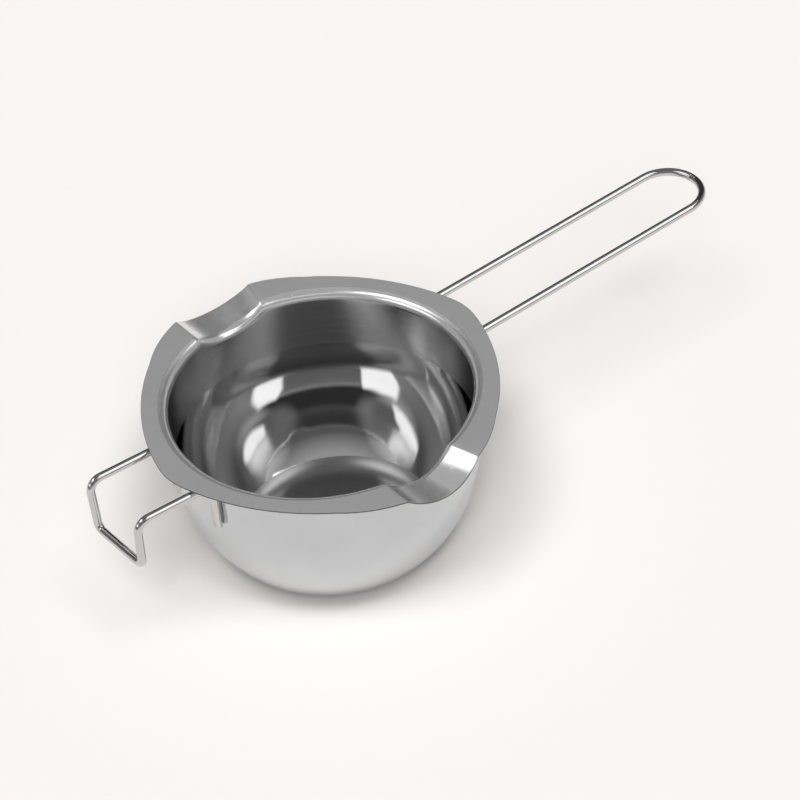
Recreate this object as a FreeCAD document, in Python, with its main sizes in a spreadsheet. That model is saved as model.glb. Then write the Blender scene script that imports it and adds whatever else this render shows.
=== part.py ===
"""Candle melting pot: a pressed steel bowl with two pouring spouts, a long wire
handle and a short wire rest hook, each welded to the bowl wall under the flange.

Frame: +Z is up, +X points to the long handle, and the origin is the centre of
the flat base's underside. Lengths are in millimetres.
"""
import FreeCAD, Part
import math
import os
import Sketcher

Vector = FreeCAD.Vector

# Driving dimensions. Every other size in the model follows from these.
SIZES = {
    # bowl
    "bowl_height": 78.0,          # base underside to flange top
    "sheet": 0.6,                 # thickness of the pressed sheet
    "bowl_radius": 62.6,          # outside, of both the straight wall and the sphere below it
    "wall_depth": 28.1,           # flange top to where the straight wall meets the sphere
    "base_knuckle": 13.6,         # outside radius between the sphere and the flat base
    "mouth_roll": 4.0,            # top radius between the flange and the wall
    # flange outline: four shallow arcs that meet on the X axis
    "side_arc_radius": 104.2,
    "side_centre_x": 26.0,
    "side_centre_y": 18.0,
    "side_corner_round": 30.0,
    # pouring spouts, one on each side of the bowl
    "spout_radius": 28.2,         # of the round channel
    "spout_depth": 6.5,           # lowest line of the channel below the flange top
    "spout_shift": 2.0,           # channel centre line, from the Y axis towards the handle
    "spout_reach": 79.4,          # lip's furthest point from the XZ plane
    "spout_lip_radius": 56.2,     # plan radius of the lip
    # wires
    "wire_diameter": 3.5,
    "wire_wall_bend": 4.0,        # centre line radius where a wire turns down the wall
    "wire_end_depth": 26.0,       # flange top to the cut ends on the wall
    "handle_wire_depth": 2.5,     # flange top to the handle's centre line
    "handle_reach": 202.3,        # bowl axis to the loop's furthest centre line point
    "handle_half_gap": 15.0,      # between the two handle wires' centre lines, halved
    "hook_wire_depth": 4.0,       # flange top to the legs' centre line at the wall
    "hook_rise": 0.072,           # legs' slope, rising away from the bowl
    "hook_reach": 99.5,           # bowl axis to the hook's upright wires
    "hook_half_gap": 16.45,       # between the two legs' centre lines, halved
    "hook_shift": 4.85,           # hook's centre line, off the X axis
    "hook_drop_depth": 24.5,      # flange top to the cross bar's centre line
    "hook_bar_half": 15.1,        # half the cross bar's length between corners
    "hook_shoulder_bend": 5.0,    # centre line radius of the two top corners
    "hook_bar_bend": 3.2,         # centre line radius of the two bottom corners
    # welds
    "weld_length": 15.0,
    "weld_width": 1.7,            # how far a bead reaches along the wall
    "weld_height": 1.3,           # how far a bead stands off the wall
}
PAST_SURFACE = 5.0                # how far a cutting shape runs past what it cuts

doc = FreeCAD.newDocument("melting_pot")


# ---------------------------------------------------------------- spreadsheet

def make_sheet():
    """Write the driving dimensions into a spreadsheet, one alias per row."""
    table = doc.addObject("Spreadsheet::Sheet", "Sizes")
    for row, (alias, value) in enumerate(SIZES.items(), start=1):
        table.set(f"A{row}", alias)
        table.set(f"B{row}", str(value))
        table.setAlias(f"B{row}", alias)
    doc.recompute()
    return table


sheet = make_sheet()


def size(alias):
    """Read a driving dimension back from the spreadsheet."""
    return float(getattr(sheet, alias))


def cell(formula):
    """Turn a formula of bare aliases into one that names the spreadsheet."""
    words = sorted(SIZES, key=len, reverse=True)
    for word in words:
        formula = formula.replace(word, f"Sizes.@{word}")
    return formula.replace("@", "")


# -------------------------------------------------------------- sketch helpers

def origin_feature(body, role):
    """Find one of a body's own base planes or axes."""
    return next(item for item in body.Origin.OriginFeatures if item.Role == role)


def new_sketch(body, name, role, height=None):
    """Attach an empty sketch to a base plane, raised by an optional formula."""
    sketch = body.newObject("Sketcher::SketchObject", name)
    sketch.AttachmentSupport = (origin_feature(body, role), "")
    sketch.MapMode = "FlatFace"
    if height:
        sketch.setExpression("AttachmentOffset.Base.z", cell(height))
    return sketch


def drive(sketch, kind, *place, formula, name):
    """Add a dimension to a sketch at its drawn value and bind it to the spreadsheet."""
    if kind == "Radius":
        drawn = sketch.Geometry[place[0]].Radius
    else:
        span = sketch.getPoint(*place[2:]) - sketch.getPoint(*place[:2])
        drawn = span.x if kind == "DistanceX" else span.y
    index = sketch.addConstraint(Sketcher.Constraint(kind, *place, drawn))
    sketch.renameConstraint(index, name)
    sketch.setExpression(f"Constraints.{name}", cell(formula))


def join(sketch, pairs):
    """Make pairs of (curve, end) points coincide."""
    for (curve_a, end_a), (curve_b, end_b) in pairs:
        sketch.addConstraint(Sketcher.Constraint("Coincident", curve_a, end_a, curve_b, end_b))


START, END, CENTRE = 1, 2, 3      # sketcher's numbers for a curve's points
X_AXIS, Y_AXIS = -1, -2           # sketcher's numbers for a sketch's own axes


def add_arc(sketch, centre, radius, start_deg, end_deg):
    """Add a circular arc that runs anticlockwise, and return its index."""
    circle = Part.Circle(centre, Vector(0, 0, 1), radius)
    arc = Part.ArcOfCircle(circle, math.radians(start_deg), math.radians(end_deg))
    return sketch.addGeometry(arc, False)


def add_line(sketch, start, end):
    """Add a straight line, and return its index."""
    return sketch.addGeometry(Part.LineSegment(start, end), False)


# ------------------------------------------------------------------------ bowl

def bowl_profile(body, name, inset, floor, top):
    """Half section of the bowl: flat base, knuckle, sphere and straight wall."""
    height, radius, bend = size("bowl_height"), size("bowl_radius"), size("base_knuckle")
    centre = Vector(0, height - size("wall_depth"), 0)
    wall = Vector(radius, centre.y, 0)
    flat = math.sqrt((radius - bend) ** 2 - (centre.y - bend) ** 2)
    join_angle = math.degrees(math.atan2(bend - centre.y, flat))
    sketch = new_sketch(body, name, "XZ_Plane")
    base = add_line(sketch, Vector(0, 0, 0), Vector(flat, 0, 0))
    knuckle = add_arc(sketch, Vector(flat, bend, 0), bend, -90, join_angle)
    sphere = add_arc(sketch, centre, radius, join_angle, 0)
    side = add_line(sketch, wall, Vector(radius, height, 0))
    lid = add_line(sketch, Vector(radius, height, 0), Vector(0, height, 0))
    axis = add_line(sketch, Vector(0, height, 0), Vector(0, 0, 0))
    join(sketch, [((sphere, END), (side, START)), ((side, END), (lid, START)),
                  ((lid, END), (axis, START)), ((axis, END), (base, START))])
    sketch.addConstraint(Sketcher.Constraint("Tangent", base, END, knuckle, START))
    sketch.addConstraint(Sketcher.Constraint("Tangent", knuckle, END, sphere, START))
    for line in (base, lid):
        sketch.addConstraint(Sketcher.Constraint("Horizontal", line))
    sketch.addConstraint(Sketcher.Constraint("Vertical", side))
    sketch.addConstraint(Sketcher.Constraint("PointOnObject", axis, START, Y_AXIS))
    sketch.addConstraint(Sketcher.Constraint("PointOnObject", axis, END, Y_AXIS))
    sketch.addConstraint(Sketcher.Constraint("PointOnObject", sphere, CENTRE, Y_AXIS))
    sketch.addConstraint(Sketcher.Constraint("Horizontal", sphere, CENTRE, sphere, END))
    drive(sketch, "Radius", sphere, formula=f"bowl_radius - {inset}", name="sphere_radius")
    drive(sketch, "Radius", knuckle, formula=f"base_knuckle - {inset}", name="knuckle_radius")
    drive(sketch, "DistanceY", X_AXIS, START, sphere, CENTRE,
          formula="bowl_height - wall_depth", name="sphere_centre")
    drive(sketch, "DistanceY", X_AXIS, START, lid, START, formula=top, name="top")
    if floor:
        drive(sketch, "DistanceY", X_AXIS, START, base, START, formula=floor, name="floor")
    else:
        sketch.addConstraint(Sketcher.Constraint("PointOnObject", base, START, X_AXIS))
    return sketch


def spout_section(body, name, extra, closed):
    """Channel section across the bowl: a whole circle, or its part below the flange."""
    height = size("bowl_height")
    radius = size("spout_radius") + (size("sheet") if closed else 0)
    centre = Vector(size("spout_shift"), height - size("spout_depth") + size("spout_radius"), 0)
    sketch = new_sketch(body, name, "XZ_Plane")
    if closed:
        half = math.sqrt(radius ** 2 - (centre.y - height) ** 2)
        edge_angle = math.degrees(math.atan2(height - centre.y, half))
        curve = add_arc(sketch, centre, radius, 180 - edge_angle, 360 + edge_angle)
        chord = add_line(sketch, Vector(centre.x + half, height, 0),
                         Vector(centre.x - half, height, 0))
        join(sketch, [((curve, END), (chord, START)), ((chord, END), (curve, START))])
        sketch.addConstraint(Sketcher.Constraint("Horizontal", chord))
        drive(sketch, "DistanceY", X_AXIS, START, chord, START, formula="bowl_height",
              name="flange_top")
    else:
        circle = Part.Circle(centre, Vector(0, 0, 1), radius)
        curve = sketch.addGeometry(circle, False)
    drive(sketch, "Radius", curve, formula=f"spout_radius + {extra}", name="channel_radius")
    drive(sketch, "DistanceX", X_AXIS, START, curve, CENTRE, formula="spout_shift", name="shift")
    drive(sketch, "DistanceY", X_AXIS, START, curve, CENTRE,
          formula="bowl_height - spout_depth + spout_radius", name="channel_centre")
    return sketch


def flange_outline(body):
    """Waste around the flange: a large circle with the lobed outline as its hole."""
    sketch = new_sketch(body, "flange_waste", "XY_Plane", "bowl_height")
    centre_x, centre_y = size("side_centre_x"), size("side_centre_y")
    radius, lip = size("side_arc_radius"), size("spout_lip_radius")
    lip_y = size("spout_reach") - lip
    # where the lip's arc crosses a side arc, found along the line of their centres
    gap_x, gap_y = centre_x, centre_y + lip_y
    gap = math.hypot(gap_x, gap_y)
    along = (gap ** 2 + radius ** 2 - lip ** 2) / (2 * gap)
    across = math.sqrt(radius ** 2 - along ** 2)
    cross = Vector((along * gap_x + across * gap_y) / gap - centre_x,
                   (along * gap_y - across * gap_x) / gap - centre_y, 0)
    low = math.degrees(math.asin(centre_y / radius))
    high = math.degrees(math.atan2(cross.y + centre_y, cross.x + centre_x))
    lip_edge = math.degrees(math.atan2(cross.y - lip_y, cross.x))
    near_x = Vector(-centre_x, -centre_y, 0)
    sides = [add_arc(sketch, near_x, radius, low, high),
             add_arc(sketch, Vector(centre_x, -centre_y, 0), radius, 180 - high, 180 - low),
             add_arc(sketch, Vector(centre_x, centre_y, 0), radius, 180 + low, 180 + high),
             add_arc(sketch, Vector(-centre_x, centre_y, 0), radius, 360 - high, 360 - low)]
    lips = [add_arc(sketch, Vector(0, lip_y, 0), lip, lip_edge, 180 - lip_edge),
            add_arc(sketch, Vector(0, -lip_y, 0), lip, 180 + lip_edge, 360 - lip_edge)]
    join(sketch, [((sides[0], END), (lips[0], START)), ((lips[0], END), (sides[1], START)),
                  ((sides[1], END), (sides[2], START)), ((sides[2], END), (lips[1], START)),
                  ((lips[1], END), (sides[3], START)), ((sides[3], END), (sides[0], START))])
    signs = [(-1, -1), (1, -1), (1, 1), (-1, 1)]
    for number, (arc, (sign_x, sign_y)) in enumerate(zip(sides, signs)):
        drive(sketch, "Radius", arc, formula="side_arc_radius", name=f"side_radius_{number}")
        drive(sketch, "DistanceX", X_AXIS, START, arc, CENTRE,
              formula=f"{sign_x} * side_centre_x", name=f"side_x_{number}")
        drive(sketch, "DistanceY", X_AXIS, START, arc, CENTRE,
              formula=f"{sign_y} * side_centre_y", name=f"side_y_{number}")
    for number, (arc, sign) in enumerate(zip(lips, (1, -1))):
        drive(sketch, "Radius", arc, formula="spout_lip_radius", name=f"lip_radius_{number}")
        sketch.addConstraint(Sketcher.Constraint("PointOnObject", arc, CENTRE, Y_AXIS))
        drive(sketch, "DistanceY", X_AXIS, START, arc, CENTRE,
              formula=f"{sign} * (spout_reach - spout_lip_radius)", name=f"lip_y_{number}")
    blank = sketch.addGeometry(Part.Circle(Vector(0, 0, 0), Vector(0, 0, 1), radius), False)
    sketch.addConstraint(Sketcher.Constraint("Coincident", blank, CENTRE, X_AXIS, START))
    drive(sketch, "Radius", blank, formula="side_arc_radius", name="blank_radius")
    return sketch


def edges_where(shape, test):
    """Names of the edges whose points all pass a test."""
    names = []
    for number, edge in enumerate(shape.Edges, start=1):
        span = edge.LastParameter - edge.FirstParameter
        points = [edge.valueAt(edge.FirstParameter + span * part) for part in (0.1, 0.5, 0.9)]
        if all(test(point) for point in points):
            names.append(f"Edge{number}")
    return names


def round_edges(body, name, formula, test):
    """Fillet the edges that a test picks out."""
    doc.recompute()
    base = body.Tip
    fillet = body.newObject("PartDesign::Fillet", name)
    picked = edges_where(base.Shape, test)
    if not picked:
        raise RuntimeError(f"{name}: no edge to round")
    fillet.Base = (base, picked)
    fillet.setExpression("Radius", cell(formula))
    doc.recompute()
    return fillet


def must_cut(body, feature, before):
    """A pocket or groove that misses the solid shows no error, so compare volumes."""
    doc.recompute()
    if not feature.Shape.Volume < before - 1:
        raise RuntimeError(f"{feature.Name} removed nothing")


def make_bowl():
    """Bowl, flange and spouts, pressed from one sheet."""
    body = doc.addObject("PartDesign::Body", "bowl")
    body.Label = "bowl"
    height, sheet_t, radius = size("bowl_height"), size("sheet"), size("bowl_radius")
    near = 0.05               # how close to a surface a point counts as on it
    spout_floor = height - size("spout_depth") - 2 * sheet_t

    solid = body.newObject("PartDesign::Revolution", "bowl_solid")
    solid.Profile = bowl_profile(body, "outside_profile", "0", None, "bowl_height")
    solid.ReferenceAxis = (solid.Profile[0], ["V_Axis"])
    solid.Angle = 360

    blank = new_sketch(body, "flange_blank", "XY_Plane", "bowl_height")
    disc = blank.addGeometry(Part.Circle(Vector(0, 0, 0), Vector(0, 0, 1), radius), False)
    blank.addConstraint(Sketcher.Constraint("Coincident", disc, CENTRE, X_AXIS, START))
    drive(blank, "Radius", disc, formula=f"spout_reach + {PAST_SURFACE}", name="blank_radius")
    plate = body.newObject("PartDesign::Pad", "flange_plate")
    plate.Profile = blank
    plate.Reversed = True
    plate.setExpression("Length", cell("sheet"))

    channel = body.newObject("PartDesign::Pad", "spout_channels")
    channel.Profile = spout_section(body, "channel_outside", "sheet", True)
    channel.SideType = "Symmetric"
    channel.setExpression("Length", cell(f"2 * (spout_reach + {PAST_SURFACE})"))
    doc.recompute()

    before = channel.Shape.Volume
    trim = body.newObject("PartDesign::Pocket", "flange_trim")
    trim.Profile = flange_outline(body)
    trim.SideType = "Symmetric"
    trim.setExpression("Length", cell("2 * bowl_height"))
    must_cut(body, trim, before)

    def under_the_rim(point):
        on_wall = abs(math.hypot(point.x, point.y) - radius) < near
        return on_wall and spout_floor < point.z < height - sheet_t + near

    round_edges(body, "underside_roll", "mouth_roll - sheet", under_the_rim)

    before = body.Tip.Shape.Volume
    cavity = body.newObject("PartDesign::Groove", "cavity")
    cavity.Profile = bowl_profile(body, "inside_profile", "sheet", "sheet",
                                  f"bowl_height + {PAST_SURFACE}")
    cavity.ReferenceAxis = (cavity.Profile[0], ["V_Axis"])
    cavity.Angle = 360
    must_cut(body, cavity, before)

    before = body.Tip.Shape.Volume
    trough = body.newObject("PartDesign::Pocket", "spout_troughs")
    trough.Profile = spout_section(body, "channel_inside", "0", False)
    trough.SideType = "Symmetric"
    trough.setExpression("Length", cell(f"2 * (spout_reach + {PAST_SURFACE})"))
    must_cut(body, trough, before)

    inner_radius = radius - sheet_t

    def at_the_mouth(point):
        on_wall = abs(math.hypot(point.x, point.y) - inner_radius) < near
        return on_wall and point.z > spout_floor

    def at_the_lobes(point):
        return abs(point.y) < near and abs(point.x) > inner_radius + 2 * size("mouth_roll")

    round_edges(body, "mouth_roll_top", "mouth_roll", at_the_mouth)
    round_edges(body, "lobe_round", "side_corner_round", at_the_lobes)
    return body


# ----------------------------------------------------------------------- wires

def rod_path(points, bends):
    """Wire through the points, with a tangent arc of the given radius at each inner one."""
    edges = []
    last = points[0]
    for before, corner, after, bend in zip(points, points[1:], points[2:], bends):
        back = (before - corner).normalize()
        ahead = (after - corner).normalize()
        half_angle = back.getAngle(ahead) / 2
        reach = bend / math.tan(half_angle)
        start = corner + back * reach
        end = corner + ahead * reach
        middle_line = (back + ahead).normalize()
        middle = corner + middle_line * (bend / math.sin(half_angle) - bend)
        if (start - last).Length > 1e-6:
            edges.append(Part.LineSegment(last, start).toShape())
        edges.append(Part.Arc(start, middle, end).toShape())
        last = end
    edges.append(Part.LineSegment(last, points[-1]).toShape())
    return Part.Wire(edges)


def make_rod(label, points, bends):
    """Sweep the wire's round section along its centre line."""
    path = doc.addObject("Part::Feature", f"{label}_path")
    path.Shape = rod_path(points, bends)
    section = doc.addObject("Part::Circle", f"{label}_section")
    section.setExpression("Radius", cell("wire_diameter / 2"))
    section.Placement = FreeCAD.Placement(points[0], FreeCAD.Rotation())
    rod = doc.addObject("Part::Sweep", label)
    rod.Label = label
    rod.Sections = [section]
    rod.Spine = (path, [f"Edge{number + 1}" for number in range(len(path.Shape.Edges))])
    rod.Solid = True
    rod.Frenet = False
    return rod


def wall_contact(side_y):
    """How far from the YZ plane a wire stands when it touches the wall at this y."""
    centre_radius = size("bowl_radius") + size("wire_diameter") / 2
    return math.sqrt(centre_radius ** 2 - side_y ** 2)


def make_long_handle():
    """One wire: down the wall, out along +X, round the hairpin end and back."""
    top = size("bowl_height")
    level = top - size("handle_wire_depth")
    low = top - size("wire_end_depth")
    half = size("handle_half_gap")
    reach = size("handle_reach")
    inner = wall_contact(half)
    points = [Vector(inner, half, low), Vector(inner, half, level),
              Vector(reach, half, level), Vector(reach, -half, level),
              Vector(inner, -half, level), Vector(inner, -half, low)]
    wall_bend = size("wire_wall_bend")
    loop_bend = half * (1 - 1e-4)     # the hairpin's two quarter turns all but meet
    return make_rod("long_handle", points, [wall_bend, loop_bend, loop_bend, wall_bend])


def make_rest_hook():
    """One wire: two legs that rise a little, two uprights and a cross bar."""
    top = size("bowl_height")
    low = top - size("wire_end_depth")
    level = top - size("hook_wire_depth")
    bar = top - size("hook_drop_depth")
    shift, half, bar_half = size("hook_shift"), size("hook_half_gap"), size("hook_bar_half")
    reach = size("hook_reach")

    def leg(side):
        """Cut end, wall corner, shoulder and bar corner of one side."""
        side_y = shift + side * half
        inner = wall_contact(side_y)
        shoulder = level + (reach - inner) * size("hook_rise")
        return [Vector(-inner, side_y, low), Vector(-inner, side_y, level),
                Vector(-reach, side_y, shoulder), Vector(-reach, shift + side * bar_half, bar)]

    points = leg(1) + leg(-1)[::-1]
    bends = [size(name) for name in ("wire_wall_bend", "hook_shoulder_bend", "hook_bar_bend")]
    return make_rod("rest_hook", points, bends + bends[::-1])


# ----------------------------------------------------------------------- welds

def make_weld(label, side_x, side_y):
    """Two beads, one each side of a wire's cut end, filling the gap to the wall."""
    wire_x = side_x * wall_contact(side_y)
    angle = math.degrees(math.atan2(side_y, wire_x))
    bottom = "bowl_height - wire_end_depth + wire_diameter / 2"
    block = doc.addObject("Part::Box", f"{label}_block")
    block.setExpression("Length", cell("weld_height + sheet"))
    block.setExpression("Width", cell("2 * weld_width"))
    block.setExpression("Height", cell("weld_length"))
    wall = doc.addObject("Part::Cylinder", f"{label}_wall")
    wall.setExpression("Radius", cell("bowl_radius"))
    wall.setExpression("Height", cell("bowl_height"))
    rod = doc.addObject("Part::Cylinder", f"{label}_rod")
    rod.setExpression("Radius", cell("wire_diameter / 2"))
    rod.setExpression("Height", cell("bowl_height"))
    rod.Placement.Base = Vector(wire_x, side_y, 0)
    turn = FreeCAD.Rotation(Vector(0, 0, 1), angle)
    corner = Vector(size("bowl_radius") - size("sheet"), -size("weld_width"), 0)
    block.Placement = FreeCAD.Placement(turn.multVec(corner), turn)
    block.setExpression("Placement.Base.z", cell(bottom))
    off_wall = doc.addObject("Part::Cut", f"{label}_off_wall")
    off_wall.Base = block
    off_wall.Tool = wall
    weld = doc.addObject("Part::Cut", label)
    weld.Label = label
    weld.Base = off_wall
    weld.Tool = rod
    return weld


def make_welds():
    """One weld for each of the four cut wire ends."""
    handle_y, hook_y = size("handle_half_gap"), size("hook_half_gap")
    shift = size("hook_shift")
    return [make_weld("handle_weld_left", 1, handle_y),
            make_weld("handle_weld_right", 1, -handle_y),
            make_weld("hook_weld_left", -1, shift + hook_y),
            make_weld("hook_weld_right", -1, shift - hook_y)]


# ---------------------------------------------------------------------- output

def check(parts):
    """Stop if any object failed to build or any sub-part is not a valid solid."""
    doc.recompute()
    for item in doc.Objects:
        if "Invalid" in item.State or "Error" in item.State:
            raise RuntimeError(f"{item.Name} failed: {item.State}")
    for part in parts:
        shape = part.Shape
        if shape.isNull() or not shape.isValid() or not shape.Solids:
            raise RuntimeError(f"{part.Label} is not a valid solid")


def main():
    parts = [make_bowl(), make_long_handle(), make_rest_hook()] + make_welds()
    check(parts)
    os.makedirs("parts", exist_ok=True)
    for part in parts:
        part.Shape.exportStep(f"parts/{part.Label}.step")
        box = part.Shape.BoundBox
        print(f"{part.Label}: {len(part.Shape.Solids)} solid, {part.Shape.Volume:.0f} mm3,"
              f" z {box.ZMin:.1f} to {box.ZMax:.1f}, x {box.XMin:.1f} to {box.XMax:.1f}")


main()
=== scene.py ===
import math

import bmesh
import bpy
from mathutils import Matrix, Vector, noise


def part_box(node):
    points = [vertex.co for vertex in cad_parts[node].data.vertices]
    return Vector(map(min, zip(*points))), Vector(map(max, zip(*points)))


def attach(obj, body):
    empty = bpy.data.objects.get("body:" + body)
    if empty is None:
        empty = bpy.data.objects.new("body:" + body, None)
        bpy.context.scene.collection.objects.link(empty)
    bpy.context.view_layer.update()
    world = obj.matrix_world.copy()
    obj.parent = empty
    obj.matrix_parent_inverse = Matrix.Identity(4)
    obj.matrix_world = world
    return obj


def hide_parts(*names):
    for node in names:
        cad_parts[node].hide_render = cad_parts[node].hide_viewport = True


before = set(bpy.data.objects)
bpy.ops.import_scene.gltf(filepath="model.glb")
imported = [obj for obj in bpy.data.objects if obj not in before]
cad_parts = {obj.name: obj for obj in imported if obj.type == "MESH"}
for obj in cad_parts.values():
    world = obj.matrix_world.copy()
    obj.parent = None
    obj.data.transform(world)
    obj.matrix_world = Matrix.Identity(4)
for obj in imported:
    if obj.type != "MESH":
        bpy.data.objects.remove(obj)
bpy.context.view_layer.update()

# A candle melting pot: one pressed steel bowl with a flange and two pouring spouts, a long
# looped wire handle, a short wire rest hook, and the welds that hold the wires to the wall.
# Metres throughout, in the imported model's own frame: +Z up, +X towards the long handle.

MM = 0.001

# ------------------------------------------------------------------ sizes

BOWL_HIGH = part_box("bowl")[1]
HANDLE_LOW, HANDLE_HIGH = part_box("long_handle")
HOOK_LOW, HOOK_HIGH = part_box("rest_hook")

TOP = BOWL_HIGH.z                    # flange top
SHEET = 0.6 * MM
BOWL_RADIUS = 62.6 * MM              # outside, of the wall and of the sphere
INNER_RADIUS = BOWL_RADIUS - SHEET
SPHERE_HEIGHT = TOP - 28.1 * MM      # sphere's centre, where the straight wall ends
INNER_KNUCKLE = 13.0 * MM            # between the sphere and the flat base
FLANGE_ROLL = 4.0 * MM               # top radius between the flange and the wall
SPOUT_ROLL = 3.3 * MM                # the same radius at the middle of a spout

SIDE_ARC_RADIUS = 104.2 * MM         # the flange's four shallow side arcs
SIDE_CENTRE_X = 26.0 * MM
SIDE_CENTRE_Y = 18.0 * MM
LOBE_RADIUS = 30.0 * MM              # rounding where two side arcs meet on the X axis
LIP_RADIUS = 56.2 * MM               # plan radius of a spout's lip
LIP_CENTRE_Y = BOWL_HIGH.y - LIP_RADIUS

CHANNEL_RADIUS = 28.2 * MM           # section of the pouring channel
CHANNEL_DEPTH = 6.5 * MM
FOLD_HOOK_X = -16.3 * MM             # the channel's straight edge on the hook's side
FOLD_HANDLE_X = 16.6 * MM            # its flaring edge on the handle's side, at the wall
FOLD_FLARE = 0.28                    # how fast that edge moves away, per metre outwards
FOLD_BLEND = 0.55 * MM               # how softly the flange turns into the channel
CHANNEL_START = 30.0 * MM            # distance from the XZ plane where the pressing begins
CHANNEL_FULL = 40.0 * MM             # and where it has its full depth
EDGE_ROUND = 0.12 * MM               # the sheared sheet's corner radius

HANDLE_HALF_GAP = 15.0 * MM          # between the handle wires' centre lines, halved
WIRE_RADIUS = (HANDLE_HIGH.y - HANDLE_LOW.y) / 2 - HANDLE_HALF_GAP
WIRE_DRESS = 0.25 * MM               # how far a cut end is dressed
WALL_BEND = 4.0 * MM                 # centre line radius where a wire turns down the wall
HOOK_LEVEL = TOP - 4.0 * MM          # the legs' centre line at the wall
HOOK_RISE = 0.072                    # the legs' slope, rising away from the bowl
HOOK_REACH = 99.5 * MM               # bowl axis to the hook's upright wires
HOOK_BAR_LEVEL = TOP - 24.5 * MM
HOOK_BAR_HALF = 15.1 * MM            # half the cross bar's length between corners
HOOK_SHOULDER_BEND = 5.0 * MM
HOOK_BAR_BEND = 3.2 * MM

BEAD_RADIUS = 0.62 * MM              # a weld bead's usual radius
BEAD_LUMP = 0.18 * MM                # how much that radius changes along the bead
BEAD_LUMP_LENGTH = 1.1 * MM
BEAD_WANDER = 0.16 * MM              # how far the bead strays sideways
BEAD_WANDER_LENGTH = 1.7 * MM
BEAD_ASIDE = 1.02 * MM               # bead's middle, sideways from the wire's
BEAD_OUT = 0.22 * MM                 # bead's middle, outside the wall's surface

# ------------------------------------------------ how fine the meshes are

SIDE_COLUMNS, CHANNEL_COLUMNS = 168, 72
BASE_ROWS, KNUCKLE_ROWS, SPHERE_ROWS, WALL_ROWS, ROLL_ROWS, FLANGE_ROWS = 12, 8, 54, 22, 14, 16
WIRE_SIDES = 32
WELD_RINGS, WELD_SIDES = 60, 16

# The bowl's finishes, in the order of its material slots.
BASE, SPHERE, WALL, FLANGE, SPOUT, EDGE, OUTSIDE = range(7)


# -------------------------------------------------------- mesh from a grid

def new_object(name, vertices, faces, face_material=None):
    """Make a smooth-shaded mesh object whose faces all point outwards."""
    mesh = bpy.data.meshes.new(name)
    mesh.from_pydata(vertices, [], faces)
    if face_material:
        mesh.polygons.foreach_set("material_index", face_material)
    mesh.polygons.foreach_set("use_smooth", [True] * len(faces))
    shape = bmesh.new()
    shape.from_mesh(mesh)
    bmesh.ops.recalc_face_normals(shape, faces=shape.faces)
    shape.to_mesh(mesh)
    shape.free()
    mesh.update()
    made = bpy.data.objects.new(name, mesh)
    bpy.context.scene.collection.objects.link(made)
    return made


def spread(count, ease=0.0):
    """Fractions from 0 to 1, crowded towards both ends as ease goes to 1."""
    steps = [index / count for index in range(count + 1)]
    return [(1 - ease) * step + ease * (1 - math.cos(math.pi * step)) / 2 for step in steps]


def mix(low, high, share):
    return low + (high - low) * share


# -------------------------------------------------------------------- bowl

def ray_to_circle(angle, centre_x, centre_y, radius):
    """Distance from the axis, in one direction, to the far side of a circle."""
    along = centre_x * math.cos(angle) + centre_y * math.sin(angle)
    off = centre_x * math.sin(angle) - centre_y * math.cos(angle)
    return along + math.sqrt(radius ** 2 - off ** 2)


def lobe_circle():
    """Centre and half angle of the rounding between two side arcs, on the X axis."""
    reach = SIDE_ARC_RADIUS - LOBE_RADIUS
    centre = math.sqrt(reach ** 2 - SIDE_CENTRE_Y ** 2) - SIDE_CENTRE_X
    tangent_x = (centre + SIDE_CENTRE_X) * SIDE_ARC_RADIUS / reach - SIDE_CENTRE_X
    tangent_y = SIDE_CENTRE_Y * SIDE_ARC_RADIUS / reach - SIDE_CENTRE_Y
    return centre, math.atan2(tangent_y, tangent_x)


def lip_start_angle():
    """Direction, in the first quarter, where a side arc gives way to the lip's arc."""
    apart_x, apart_y = SIDE_CENTRE_X, SIDE_CENTRE_Y + LIP_CENTRE_Y
    apart = math.hypot(apart_x, apart_y)
    along = (apart ** 2 + SIDE_ARC_RADIUS ** 2 - LIP_RADIUS ** 2) / (2 * apart)
    across = math.sqrt(SIDE_ARC_RADIUS ** 2 - along ** 2)
    x = (along * apart_x + across * apart_y) / apart - SIDE_CENTRE_X
    y = (along * apart_y - across * apart_x) / apart - SIDE_CENTRE_Y
    return math.atan2(y, x)


LOBE_CENTRE, LOBE_ANGLE = lobe_circle()
LIP_ANGLE = lip_start_angle()


def outline_radius(angle):
    """Distance from the axis to the flange's edge in one direction."""
    quarter = math.atan2(abs(math.sin(angle)), abs(math.cos(angle)))
    if quarter < LOBE_ANGLE:
        return ray_to_circle(quarter, LOBE_CENTRE, 0, LOBE_RADIUS)
    if quarter < LIP_ANGLE:
        return ray_to_circle(quarter, -SIDE_CENTRE_X, -SIDE_CENTRE_Y, SIDE_ARC_RADIUS)
    return ray_to_circle(quarter, 0, LIP_CENTRE_Y, LIP_RADIUS)


def fold_handle_x(y):
    """Where the channel's flaring edge is at a distance from the XZ plane."""
    return FOLD_HANDLE_X + FOLD_FLARE * (abs(y) - INNER_RADIUS)


CHANNEL_HALF = math.sqrt(CHANNEL_RADIUS ** 2 - (CHANNEL_RADIUS - CHANNEL_DEPTH) ** 2)
CHANNEL_EDGE_SLOPE = CHANNEL_HALF / (CHANNEL_RADIUS - CHANNEL_DEPTH)


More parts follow.
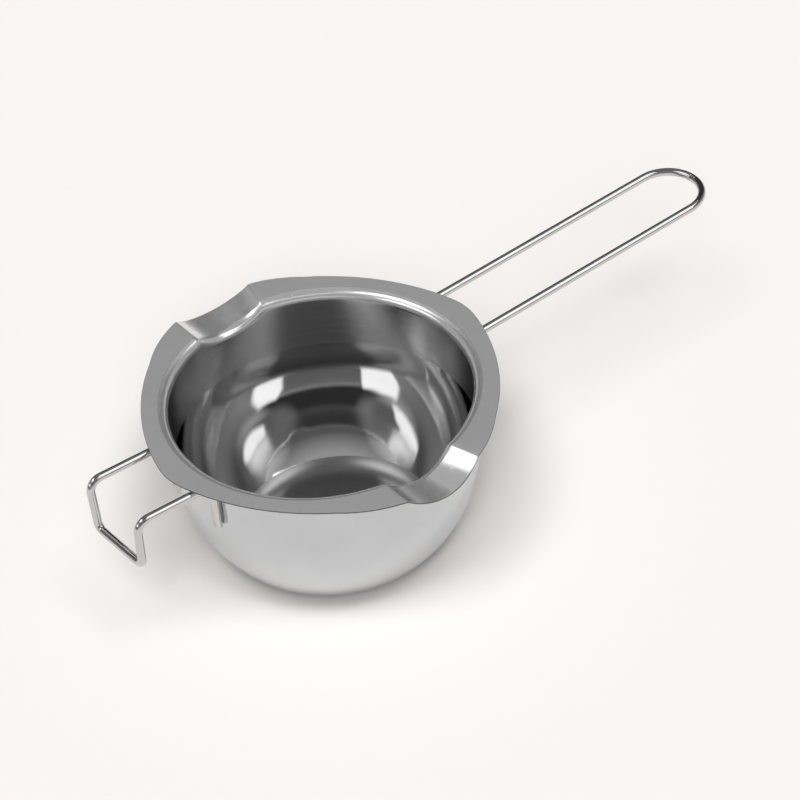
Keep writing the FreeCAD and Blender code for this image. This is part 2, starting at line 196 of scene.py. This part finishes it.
def sink(x, y):
    """How far the pressed sheet lies below the flange top at a place outside the wall."""
    middle = (FOLD_HOOK_X + fold_handle_x(y)) / 2
    half = (fold_handle_x(y) - FOLD_HOOK_X) / 2
    across = (x - middle) / half * CHANNEL_HALF
    if abs(across) < CHANNEL_HALF:
        depth = math.sqrt(CHANNEL_RADIUS ** 2 - across ** 2) - (CHANNEL_RADIUS - CHANNEL_DEPTH)
    else:
        depth = -CHANNEL_EDGE_SLOPE * (abs(across) - CHANNEL_HALF)
    soft = (depth + math.sqrt(depth ** 2 + FOLD_BLEND ** 2)) / 2
    pressed = (abs(y) - CHANNEL_START) / (CHANNEL_FULL - CHANNEL_START)
    return soft * min(1.0, max(0.0, pressed))


def circle_crossing_y(x):
    return math.sqrt(INNER_RADIUS ** 2 - x ** 2)


def outline_crossing(x_at):
    """Point of the flange's edge, in the +Y half, whose x is x_at(y)."""
    low, high = math.radians(30), math.radians(150)
    for _ in range(40):
        angle = (low + high) / 2
        radius = outline_radius(angle)
        if radius * math.cos(angle) > x_at(radius * math.sin(angle)):
            low = angle
        else:
            high = angle
    return low


def plan_columns():
    """Pairs of angles, at the wall and at the edge, one for each column of the bowl's grid.

    The columns run along the folds of the channels, and turn evenly between them.
    """
    handle_y = INNER_RADIUS
    for _ in range(20):
        handle_y = circle_crossing_y(fold_handle_x(handle_y))
    wall_handle = math.atan2(handle_y, fold_handle_x(handle_y))
    wall_hook = math.atan2(circle_crossing_y(FOLD_HOOK_X), FOLD_HOOK_X)
    edge_handle = outline_crossing(fold_handle_x)
    edge_hook = outline_crossing(lambda y: FOLD_HOOK_X)
    stretches = [(-wall_handle, wall_handle, -edge_handle, edge_handle, SIDE_COLUMNS),
                 (wall_handle, wall_hook, edge_handle, edge_hook, CHANNEL_COLUMNS),
                 (wall_hook, 2 * math.pi - wall_hook, edge_hook, 2 * math.pi - edge_hook,
                  SIDE_COLUMNS),
                 (2 * math.pi - wall_hook, 2 * math.pi - wall_handle,
                  2 * math.pi - edge_hook, 2 * math.pi - edge_handle, CHANNEL_COLUMNS)]
    columns = []
    for wall_from, wall_to, edge_from, edge_to, count in stretches:
        for share in spread(count, 0.6)[:-1]:
            columns.append((mix(wall_from, wall_to, share), mix(edge_from, edge_to, share)))
    return columns


def inside_rows():
    """Radius and height of the inner surface from the base's middle up to the straight wall."""
    hub = SPHERE_HEIGHT - SHEET - INNER_KNUCKLE        # knuckle centre, below the sphere's
    flat = math.sqrt((INNER_RADIUS - INNER_KNUCKLE) ** 2 - hub ** 2)
    lean = math.atan2(flat, hub)
    rows = [(flat * step, SHEET) for step in spread(BASE_ROWS)[1:]]
    for step in spread(KNUCKLE_ROWS)[1:]:
        turn = lean * step
        rows.append((flat + INNER_KNUCKLE * math.sin(turn),
                     SHEET + INNER_KNUCKLE * (1 - math.cos(turn))))
    for step in spread(SPHERE_ROWS)[1:]:
        turn = mix(lean, math.pi / 2, step)
        rows.append((INNER_RADIUS * math.sin(turn), SPHERE_HEIGHT - INNER_RADIUS * math.cos(turn)))
    return rows


def column_points(wall_angle, edge_angle, rows):
    """One column of the top surface: base, sphere, wall, roll and flange, then its edge."""
    cosine, sine = math.cos(wall_angle), math.sin(wall_angle)
    points = [Vector((radius * cosine, radius * sine, height)) for radius, height in rows]
    start = Vector((INNER_RADIUS * cosine, INNER_RADIUS * sine, 0))
    reach = outline_radius(edge_angle)
    end = Vector((reach * math.cos(edge_angle), reach * math.sin(edge_angle), 0))
    length = (end - start).length
    share_deep = sink(start.x, start.y) / CHANNEL_DEPTH
    roll = mix(FLANGE_ROLL, SPOUT_ROLL, min(1.0, share_deep))
    brink = TOP - sink(start.x, start.y) - roll
    for step in spread(WALL_ROWS)[1:]:
        points.append(Vector((start.x, start.y, mix(SPHERE_HEIGHT, brink, step))))
    for step in spread(ROLL_ROWS)[1:]:
        turn = math.pi / 2 * step
        place = start.lerp(end, roll * (1 - math.cos(turn)) / length)
        place.z = TOP - sink(place.x, place.y) - roll * (1 - math.sin(turn))
        points.append(place)
    first = roll / length
    for step in spread(FLANGE_ROWS, 0.3)[1:]:
        place = start.lerp(end, mix(first, 1 - EDGE_ROUND / length, step))
        place.z = TOP - sink(place.x, place.y)
        points.append(place)
    return points, end


def make_bowl():
    """Pressed bowl as one closed skin: top surface, sheared edge, and underside."""
    rows = inside_rows()
    columns = plan_columns()
    top, ends = [], []
    for wall_angle, edge_angle in columns:
        points, end = column_points(wall_angle, edge_angle, rows)
        top.append(points)
        ends.append(end)
    count, depth = len(top), len(top[0])

    def normal(column, row):
        """Upward normal of the top surface, from the points around this one."""
        along = top[column][min(row + 1, depth - 1)] - top[column][max(row - 1, 0)]
        around = top[(column + 1) % count][row] - top[column - 1][row]
        return around.cross(along).normalized() * -1

    grid = []
    for column in range(count):
        under = [point - normal(column, row) * SHEET for row, point in enumerate(top[column])]
        upper, lower, end = top[column][-1], under[-1], ends[column]
        corner_drop = Vector((0, 0, EDGE_ROUND))
        rim = [Vector((end.x, end.y, (upper - corner_drop).z)),
               Vector((end.x, end.y, (lower + corner_drop).z))]
        slant = (1 - math.sqrt(0.5)) * EDGE_ROUND
        outwards = (end - Vector((upper.x, upper.y, 0))).normalized()
        high = Vector((end.x, end.y, upper.z - slant)) - outwards * slant
        low = Vector((end.x, end.y, lower.z + slant)) - outwards * slant
        bottom = Vector((upper.x, upper.y, lower.z))
        grid.append(top[column] + [high] + rim + [low, bottom] + under[-2::-1])
    tall = len(grid[0])
    vertices = [point for points in grid for point in points]
    vertices += [Vector((0, 0, SHEET)), Vector((0, 0, 0))]
    inner_pole, outer_pole = len(vertices) - 2, len(vertices) - 1

    wall_start = len(rows)
    roll_start = wall_start + WALL_ROWS
    faces, zones = [], []
    for column in range(count):
        beside = (column + 1) % count
        in_channel = is_channel(column, count)
        faces.append((inner_pole, column * tall, beside * tall))
        zones.append(BASE)
        for row in range(tall - 1):
            faces.append((column * tall + row, column * tall + row + 1,
                          beside * tall + row + 1, beside * tall + row))
            zones.append(zone_of(row, roll_start, depth, in_channel))
        faces.append((outer_pole, beside * tall + tall - 1, column * tall + tall - 1))
        zones.append(OUTSIDE)
    bowl = new_object("pressed_bowl", vertices, faces, zones)
    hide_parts("bowl")
    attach(bowl, "root")
    return bowl


def is_channel(column, count):
    """Whether a column of faces lies between the two folds of a spout."""
    return (column % (count // 2)) >= SIDE_COLUMNS


def zone_of(row, roll_start, depth, in_channel):
    """Which finish the faces of one row have."""
    if row > depth + 3:
        return OUTSIDE
    if row >= depth - 1:
        return EDGE
    if row < BASE_ROWS + KNUCKLE_ROWS:
        return BASE
    if row < roll_start - WALL_ROWS:
        return SPHERE
    if row < roll_start:
        return WALL
    if in_channel or row < roll_start + ROLL_ROWS - 1:
        return SPOUT
    return FLANGE


# ------------------------------------------------------------------- wires

def rounded_path(corners, bends):
    """Centre line through the corners, with a tangent arc at each inner one."""
    line = [corners[0]]
    for before, corner, after, bend in zip(corners, corners[1:], corners[2:], bends):
        back = (before - corner).normalized()
        ahead = (after - corner).normalized()
        half = back.angle(ahead) / 2
        centre = corner + (back + ahead).normalized() * (bend / math.sin(half))
        start = corner + back * (bend / math.tan(half)) - centre
        end = corner + ahead * (bend / math.tan(half)) - centre
        sweep = math.pi - 2 * half
        axis = start.cross(end).normalized()
        steps = max(6, int(sweep / math.radians(4)))
        for step in range(steps + 1):
            line.append(centre + Matrix.Rotation(sweep * step / steps, 3, axis) @ start)
    line.append(corners[-1])
    return [point for index, point in enumerate(line)
            if index == 0 or (point - line[index - 1]).length > 1e-7]


def make_wire(name, replaced, corners, bends):
    """Round wire along a rounded path, with slightly dressed cut ends."""
    line = rounded_path(corners, bends)
    first, last = (line[1] - line[0]).normalized(), (line[-1] - line[-2]).normalized()
    end_radius = WIRE_RADIUS - WIRE_DRESS
    stations = [(line[0], end_radius), (line[0] + first * WIRE_DRESS, WIRE_RADIUS)]
    stations += [(point, WIRE_RADIUS) for point in line[1:-1]]
    stations += [(line[-1] - last * WIRE_DRESS, WIRE_RADIUS), (line[-1], end_radius)]
    centres = [place for place, _ in stations]
    across = first.orthogonal().normalized()
    old = first
    vertices = []
    for index, (place, radius) in enumerate(stations):
        ahead = centres[min(index + 1, len(centres) - 1)] - centres[max(index - 1, 0)]
        ahead.normalize()
        across = old.rotation_difference(ahead) @ across
        old = ahead
        beside = ahead.cross(across)
        for side in range(WIRE_SIDES):
            turn = 2 * math.pi * side / WIRE_SIDES
            vertices.append(place + (across * math.cos(turn) + beside * math.sin(turn)) * radius)
    faces = []
    for ring in range(len(stations) - 1):
        for side in range(WIRE_SIDES):
            beside = (side + 1) % WIRE_SIDES
            faces.append((ring * WIRE_SIDES + side, ring * WIRE_SIDES + beside,
                          (ring + 1) * WIRE_SIDES + beside, (ring + 1) * WIRE_SIDES + side))
    last_ring = (len(stations) - 1) * WIRE_SIDES
    for start, centre in ((0, line[0]), (last_ring, line[-1])):
        vertices.append(centre)
        for side in range(WIRE_SIDES):
            faces.append((len(vertices) - 1, start + side, start + (side + 1) % WIRE_SIDES))
    wire = new_object(name, vertices, faces)
    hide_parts(replaced)
    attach(wire, "root")
    return wire


def wall_contact(side_y):
    """How far from the YZ plane a wire's centre line is when it touches the wall."""
    return math.sqrt((BOWL_RADIUS + WIRE_RADIUS) ** 2 - side_y ** 2)


def make_handle():
    """Long handle: down the wall, out along +X, round the hairpin end and back."""
    half = HANDLE_HIGH.y - WIRE_RADIUS
    level = HANDLE_HIGH.z - WIRE_RADIUS
    reach = HANDLE_HIGH.x - WIRE_RADIUS
    inner = wall_contact(half)
    low = HANDLE_LOW.z
    corners = [Vector((inner, half, low)), Vector((inner, half, level)),
               Vector((reach, half, level)), Vector((reach, -half, level)),
               Vector((inner, -half, level)), Vector((inner, -half, low))]
    loop_bend = half * 0.9999        # just under half the gap, so the two arcs don't overlap
    return make_wire("handle_wire", "long_handle", corners,
                     [WALL_BEND, loop_bend, loop_bend, WALL_BEND])


def hook_sides():
    """The y of each of the hook's two legs."""
    return HOOK_HIGH.y - WIRE_RADIUS, HOOK_LOW.y + WIRE_RADIUS


def make_hook():
    """Rest hook: two legs that rise a little, two uprights and a cross bar."""
    left, right = hook_sides()
    middle = (left + right) / 2
    low = HANDLE_LOW.z

    def leg(side_y, bar_y):
        inner = wall_contact(side_y)
        shoulder = HOOK_LEVEL + (HOOK_REACH - inner) * HOOK_RISE
        return [Vector((-inner, side_y, low)), Vector((-inner, side_y, HOOK_LEVEL)),
                Vector((-HOOK_REACH, side_y, shoulder)),
                Vector((-HOOK_REACH, bar_y, HOOK_BAR_LEVEL))]

    corners = leg(left, middle + HOOK_BAR_HALF) + leg(right, middle - HOOK_BAR_HALF)[::-1]
    bends = [WALL_BEND, HOOK_SHOULDER_BEND, HOOK_BAR_BEND]
    return make_wire("hook_wire", "rest_hook", corners, bends + bends[::-1])


# ------------------------------------------------------------------- welds

def make_weld(name, replaced, side_x, side_y, seed):
    """Two lumpy beads in the grooves between a wire's end and the wall."""
    wire_x = side_x * wall_contact(side_y)
    out = Vector((wire_x, side_y, 0)).normalized()
    aside = Vector((-out.y, out.x, 0))
    low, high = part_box(replaced)
    vertices, faces = [], []
    for side in (-1, 1):
        start = len(vertices)
        for ring in range(WELD_RINGS + 1):
            share = ring / WELD_RINGS
            height = mix(low.z, high.z, share)
            lump = noise.noise(Vector((seed, side * 3.7, height / BEAD_LUMP_LENGTH)))
            wander = noise.noise(Vector((seed + 9.1, side * 2.3, height / BEAD_WANDER_LENGTH)))
            taper = math.sqrt(max(0.0, 1 - (2 * share - 1) ** 8))
            radius = (BEAD_RADIUS + BEAD_LUMP * lump) * max(taper, 0.05)
            centre = out * (BOWL_RADIUS + BEAD_OUT)
            centre += aside * side * (BEAD_ASIDE + BEAD_WANDER * wander)
            for step in range(WELD_SIDES):
                turn = 2 * math.pi * step / WELD_SIDES
                push = out * math.cos(turn) + aside * math.sin(turn)
                place = centre + push * radius
                vertices.append(Vector((place.x, place.y, height)))
        for ring in range(WELD_RINGS):
            for step in range(WELD_SIDES):
                beside = (step + 1) % WELD_SIDES
                faces.append((start + ring * WELD_SIDES + step,
                              start + ring * WELD_SIDES + beside,
                              start + (ring + 1) * WELD_SIDES + beside,
                              start + (ring + 1) * WELD_SIDES + step))
        faces.append(tuple(range(start, start + WELD_SIDES)))
        faces.append(tuple(range(start + WELD_RINGS * WELD_SIDES,
                                 start + (WELD_RINGS + 1) * WELD_SIDES)))
    weld = new_object(name, vertices, faces)
    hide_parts(replaced)
    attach(weld, "root")
    return weld


# --------------------------------------------------------------- materials

def new_material(name):
    """Node material, with its nodes, its links and its shader."""
    material = bpy.data.materials.new(name)
    material.use_nodes = True
    nodes, links = material.node_tree.nodes, material.node_tree.links
    return material, nodes, links, nodes["Principled BSDF"]


def ring_coordinates(nodes, links, rings):
    """Coordinates that step fast across rings about the bowl's axis, and slowly along them."""
    slow_turn = 3.0
    place = nodes.new("ShaderNodeTexCoord")
    split = nodes.new("ShaderNodeSeparateXYZ")
    links.new(place.outputs["Object"], split.inputs[0])
    flat = nodes.new("ShaderNodeCombineXYZ")
    links.new(split.outputs["X"], flat.inputs["X"])
    links.new(split.outputs["Y"], flat.inputs["Y"])
    radius = nodes.new("ShaderNodeVectorMath")
    radius.operation = "LENGTH"
    links.new(flat.outputs[0], radius.inputs[0])
    across = nodes.new("ShaderNodeMath")
    across.operation = "ADD"
    links.new(split.outputs["Z"], across.inputs[0])
    links.new(radius.outputs["Value"], across.inputs[1])
    step = nodes.new("ShaderNodeMath")
    step.operation = "MULTIPLY"
    links.new(across.outputs[0], step.inputs[0])
    step.inputs[1].default_value = rings
    turn = nodes.new("ShaderNodeVectorMath")
    turn.operation = "SCALE"
    links.new(flat.outputs[0], turn.inputs[0])
    turn.inputs["Scale"].default_value = slow_turn
    turn_split = nodes.new("ShaderNodeSeparateXYZ")
    links.new(turn.outputs[0], turn_split.inputs[0])
    joined = nodes.new("ShaderNodeCombineXYZ")
    links.new(step.outputs[0], joined.inputs["X"])
    links.new(turn_split.outputs["X"], joined.inputs["Y"])
    links.new(turn_split.outputs["Y"], joined.inputs["Z"])
    return joined.outputs[0]


def add_noise(nodes, links, vector, scale, detail=3.0):
    """Noise between 0 and 1 over some coordinates."""
    texture = nodes.new("ShaderNodeTexNoise")
    texture.inputs["Scale"].default_value = scale
    texture.inputs["Detail"].default_value = detail
    links.new(vector, texture.inputs["Vector"])
    return texture.outputs["Fac"]


def map_range(nodes, links, value, low, high, from_low=0.3, from_high=0.7):
    """Spread one range of values over another; the default suits a noise's middle values."""
    ramp = nodes.new("ShaderNodeMapRange")
    links.new(value, ramp.inputs["Value"])
    ramp.inputs["From Min"].default_value = from_low
    ramp.inputs["From Max"].default_value = from_high
    ramp.inputs["To Min"].default_value = low
    ramp.inputs["To Max"].default_value = high
    return ramp.outputs["Result"]


def steel(name, grey, rough, relief=0.04, rings=0.0, grain=900.0, anisotropy=0.0, mottle=0.03,
          metallic=1.0, cool=0.0):
    """Stainless steel: fine rings or grain in its bump and gloss, and a slow change of shade.

    The grey is its base colour. Rings and grain say how many features there are in a metre.
    """
    material, nodes, links, shader = new_material(name)
    shader.inputs["Metallic"].default_value = metallic
    place = nodes.new("ShaderNodeTexCoord").outputs["Object"]
    slow = add_noise(nodes, links, place, 45.0)
    tint = nodes.new("ShaderNodeMix")
    tint.data_type = "RGBA"
    links.new(map_range(nodes, links, slow, 0.0, 1.0), tint.inputs["Factor"])
    colour = (grey * (1 - cool), grey, grey * (1 + cool))
    tint.inputs["A"].default_value = (*[part * (1 - mottle) for part in colour], 1)
    tint.inputs["B"].default_value = (*[part * (1 + mottle) for part in colour], 1)
    links.new(tint.outputs["Result"], shader.inputs["Base Color"])
    if rings:
        pattern = add_noise(nodes, links, ring_coordinates(nodes, links, rings), 1.0, 2.0)
    else:
        pattern = add_noise(nodes, links, place, grain, 4.0)
    links.new(map_range(nodes, links, pattern, rough * 0.8, rough * 1.25),
              shader.inputs["Roughness"])
    bump = nodes.new("ShaderNodeBump")
    bump.inputs["Strength"].default_value = relief
    bump.inputs["Distance"].default_value = 0.02 * MM
    links.new(pattern, bump.inputs["Height"])
    links.new(bump.outputs["Normal"], shader.inputs["Normal"])
    if anisotropy:
        shader.inputs["Anisotropic"].default_value = anisotropy
        shader.inputs["Anisotropic Rotation"].default_value = 0.25
        tangent = nodes.new("ShaderNodeTangent")
        tangent.direction_type = "RADIAL"
        tangent.axis = "Z"
        links.new(tangent.outputs["Tangent"], shader.inputs["Tangent"])
    return material


def finish_bowl(bowl):
    """Duller base whose darker grey is painted shade, mirror sphere, brushed wall, satin flange,
    bright outside, and bright spouts and rim roll whose lighter grey is a painted reflection.
    """
    # The base and its knuckle have a darker grey than the rest of the sheet: painted shade in the
    # bowl's bottom, on top of their rougher, duller finish.
    base = steel("bowl_base_painted_shade", 0.36, 0.32, relief=0.03, rings=9000.0)
    sphere = steel("bowl_sphere", 0.66, 0.04, relief=0.14, rings=9000.0)
    wall = steel("bowl_wall", 0.65, 0.20, relief=0.12, rings=2500.0, anisotropy=0.6)
    flange = steel("bowl_flange", 0.565, 0.50, grain=2500.0, metallic=0.75)
    # The spouts and the roll round the rim have a lighter grey than the rest of the sheet: painted
    # reflected light.
    spout = steel("bowl_spout_painted_reflection", 0.84, 0.22, relief=0.001, grain=300.0, metallic=0.86)
    edge = steel("sheared_edge", 0.16, 0.45, grain=2500.0)
    outside = steel("bowl_outside", 0.57, 0.10, relief=0.10, rings=7000.0, cool=0.03)
    for material in (base, sphere, wall, flange, spout, edge, outside):
        bowl.data.materials.append(material)


def finish_wires(*wires):
    """Bright drawn wire."""
    material = steel("drawn_wire", 0.56, 0.06, grain=1200.0)
    for wire in wires:
        wire.data.materials.append(material)


def finish_welds(*welds):
    """Dull grey, lumpy weld metal."""
    material = steel("weld_bead", 0.24, 0.40, grain=3000.0, mottle=0.30)
    for weld in welds:
        weld.data.materials.append(material)


# --------------------------------------------------------------- the studio

VIEW_TURN = math.radians(-34.377)    # camera's direction, round from -Y towards +X
VIEW_LIFT = math.radians(40.453)     # camera's height angle above the floor
VIEW_ROLL = math.radians(-6.62)
VIEW_DISTANCE = 1.4093
FOCAL_LENGTH = 157.5                 # millimetres, on a sensor 36 millimetres wide
SENSOR_WIDTH = 36.0
VIEW_OFF_RIGHT = -32.33 * MM         # where the bowl's mouth is, from the view's middle
VIEW_OFF_DOWN = -4.05 * MM
FLOOR_COLOUR = (0.640, 0.617, 0.600)
FLOOR_HALF = 6.0                     # metres from the middle to an edge
PANEL_DISTANCE = 3.0                 # metres from the bowl to the light panels


def towards(turn, lift):
    """Direction at some degrees to the right of the camera's side and above the floor."""
    azimuth = VIEW_TURN + math.radians(turn)
    height = math.radians(lift)
    return Vector((math.sin(azimuth) * math.cos(height), -math.cos(azimuth) * math.cos(height),
                   math.sin(height)))


def make_floor():
    """Wide, plain, pale floor."""
    near, far = -FLOOR_HALF, FLOOR_HALF
    corners = [(near, near, 0), (far, near, 0), (far, far, 0), (near, far, 0)]
    floor = new_object("floor", corners, [(0, 1, 2, 3)])
    material, nodes, links, shader = new_material("floor_paint")
    shader.inputs["Base Color"].default_value = (*FLOOR_COLOUR, 1)
    shader.inputs["Roughness"].default_value = 0.9
    shader.inputs["Specular IOR Level"].default_value = 0.0
    floor.data.materials.append(material)


def floor_light(name, turn, lift, width, strength):
    """Soft, even light on the floor alone, from one direction and some degrees wide."""
    lamp = bpy.data.lights.new(name, "SUN")
    lamp.angle = math.radians(width)
    lamp.energy = strength
    made = bpy.data.objects.new(name, lamp)
    made.rotation_mode = "QUATERNION"
    made.rotation_quaternion = (-towards(turn, lift)).to_track_quat("-Z", "Y")
    made.visible_camera = False
    made.visible_glossy = False
    bpy.context.scene.collection.objects.link(made)


def light_panel(name, corners, radiance):
    """Flat light that shows in the steel, its corners given as (turn, lift) in degrees."""
    middle = Vector((0, 0, TOP / 2))
    points = [middle + towards(turn, lift) * PANEL_DISTANCE for turn, lift in corners]
    panel = new_object(name, points, [tuple(range(len(points)))])
    material, nodes, links, shader = new_material(name + "_glow")
    shader.inputs["Base Color"].default_value = (0, 0, 0, 1)
    shader.inputs["Emission Color"].default_value = (1, 1, 1, 1)
    shader.inputs["Emission Strength"].default_value = radiance
    panel.data.materials.append(material)
    panel.visible_camera = False
    panel.visible_diffuse = False
    panel.visible_shadow = False


def height_ramp(nodes, links, height, stops):
    """Shade of the surroundings by the sine of the height angle."""
    ramp = nodes.new("ShaderNodeValToRGB")
    links.new(height, ramp.inputs["Fac"])
    while len(ramp.color_ramp.elements) < len(stops):
        ramp.color_ramp.elements.new(0.5)
    for element, (degrees, shade) in zip(ramp.color_ramp.elements, stops):
        element.position = math.sin(math.radians(degrees))
        element.color = (shade, shade, shade, 1)
    return ramp.outputs["Color"]


def facing(nodes, links, direction, turn, start, stop):
    """Share, from 0 to 1, of how much a direction faces one side of the studio."""
    dot = nodes.new("ShaderNodeVectorMath")
    dot.operation = "DOT_PRODUCT"
    links.new(direction, dot.inputs[0])
    dot.inputs[1].default_value = towards(turn, 0)
    return map_range(nodes, links, dot.outputs["Value"], 0.0, 1.0, start, stop)


def blend_shades(nodes, links, share, first, second):
    """One shade turning into another as the share goes from 0 to 1."""
    blend = nodes.new("ShaderNodeMix")
    blend.data_type = "RGBA"
    links.new(share, blend.inputs["Factor"])
    links.new(first, blend.inputs["A"])
    links.new(second, blend.inputs["B"])
    return blend.outputs["Result"]


def make_world():
    """Dim studio that the steel reflects: a grey wall in front, dark low down behind."""
    world = bpy.data.worlds.new("studio")
    bpy.context.scene.world = world
    world.use_nodes = True
    nodes, links = world.node_tree.nodes, world.node_tree.links
    direction = nodes.new("ShaderNodeTexCoord").outputs["Generated"]
    split = nodes.new("ShaderNodeSeparateXYZ")
    links.new(direction, split.inputs[0])
    height = split.outputs["Z"]
    front = height_ramp(nodes, links, height, [(0, 0.45), (18, 0.40), (24, 0.12), (33, 0.12),
                                               (40, 0.25), (50, 0.42), (54, 0.38), (60, 0.14),
                                               (90, 0.16)])
    back = height_ramp(nodes, links, height, [(0, 0.60), (9, 0.14), (15, 0.10), (18, 0.05),
                                              (46.5, 0.05), (47.5, 1.0), (48, 1.0), (49, 0.27),
                                              (90, 0.20)])
    left = height_ramp(nodes, links, height, [(0, 0.30), (15, 0.25), (45, 0.22), (90, 0.15)])
    right = height_ramp(nodes, links, height, [(0, 0.40), (15, 0.32), (45, 0.26), (90, 0.15)])
    glow = height_ramp(nodes, links, height, [(0, 0.25), (30, 0.20), (36, 0.60), (41, 0.60),
                                              (46, 0.25), (90, 0.16)])
    shade = blend_shades(nodes, links, facing(nodes, links, direction, 0, -0.1, 0.1), back, front)
    for turn, side in ((-110, left), (102, right)):
        share = facing(nodes, links, direction, turn, 0.76, 0.88)
        shade = blend_shades(nodes, links, share, shade, side)
    for turn in (-72, 72):
        share = facing(nodes, links, direction, turn, 0.66, 0.80)
        shade = blend_shades(nodes, links, share, shade, glow)
    links.new(shade, nodes["Background"].inputs["Color"])
    nodes["Background"].inputs["Strength"].default_value = 1.0
    world.cycles_visibility.diffuse = False


def make_lights():
    """Three soft lights for the floor, and the panels that show in the steel."""
    floor_light("floor_front", 0, 42, 24, 2.00)
    floor_light("floor_left", -28, 66, 22, 1.82)
    floor_light("floor_right", 28, 66, 22, 1.82)
    light_panel("left_softbox", [(-91, 69), (-117, 56), (-112, 45), (-82, 44), (-62, 51),
                                 (-36, 58), (-50, 66)], 2.0)
    light_panel("right_softbox", [(80, 66), (40, 58), (30, 53), (45, 49), (69, 41), (91, 42),
                                  (118, 44), (111, 54)], 2.0)
    light_panel("left_low_panel", [(-93, 16), (-93, 26), (-70, 31), (-58, 31), (-50, 28),
                                   (-46, 24), (-62, 18)], 1.9)
    light_panel("right_low_panel", [(80, 36), (53, 32), (36, 29.5), (36, 26), (50, 22),
                                    (68, 19), (78, 24)], 1.9)


# --------------------------------------------------------------- the camera

def make_camera():
    """Long lens, above and to the hook's side of the near spout."""
    aim = Vector((0, 0, TOP))
    back = towards(0, math.degrees(VIEW_LIFT))
    level = Vector((math.cos(VIEW_TURN), math.sin(VIEW_TURN), 0))
    rise = back.cross(level)
    x_axis = level * math.cos(VIEW_ROLL) + rise * math.sin(VIEW_ROLL)
    y_axis = rise * math.cos(VIEW_ROLL) - level * math.sin(VIEW_ROLL)
    lens = bpy.data.cameras.new("camera")
    lens.sensor_width = SENSOR_WIDTH
    lens.lens = FOCAL_LENGTH
    lens.clip_start, lens.clip_end = 0.05, 60.0
    camera = bpy.data.objects.new("camera", lens)
    place = aim - x_axis * VIEW_OFF_RIGHT + y_axis * VIEW_OFF_DOWN + back * VIEW_DISTANCE
    turn = Matrix((x_axis, y_axis, back)).transposed().to_4x4()
    camera.matrix_world = Matrix.Translation(place) @ turn
    bpy.context.scene.collection.objects.link(camera)
    bpy.context.scene.camera = camera


# ---------------------------------------------------------------- build it

finish_bowl(make_bowl())
finish_wires(make_handle(), make_hook())
hook_left, hook_right = hook_sides()
handle_half = HANDLE_HIGH.y - WIRE_RADIUS
finish_welds(make_weld("handle_bead_left", "handle_weld_left", 1, handle_half, 1.3),
             make_weld("handle_bead_right", "handle_weld_right", 1, -handle_half, 4.1),
             make_weld("hook_bead_left", "hook_weld_left", -1, hook_left, 7.7),
             make_weld("hook_bead_right", "hook_weld_right", -1, hook_right, 11.9))
make_floor()
make_world()
make_lights()
make_camera()
bpy.context.scene.view_settings.view_transform = "Standard"
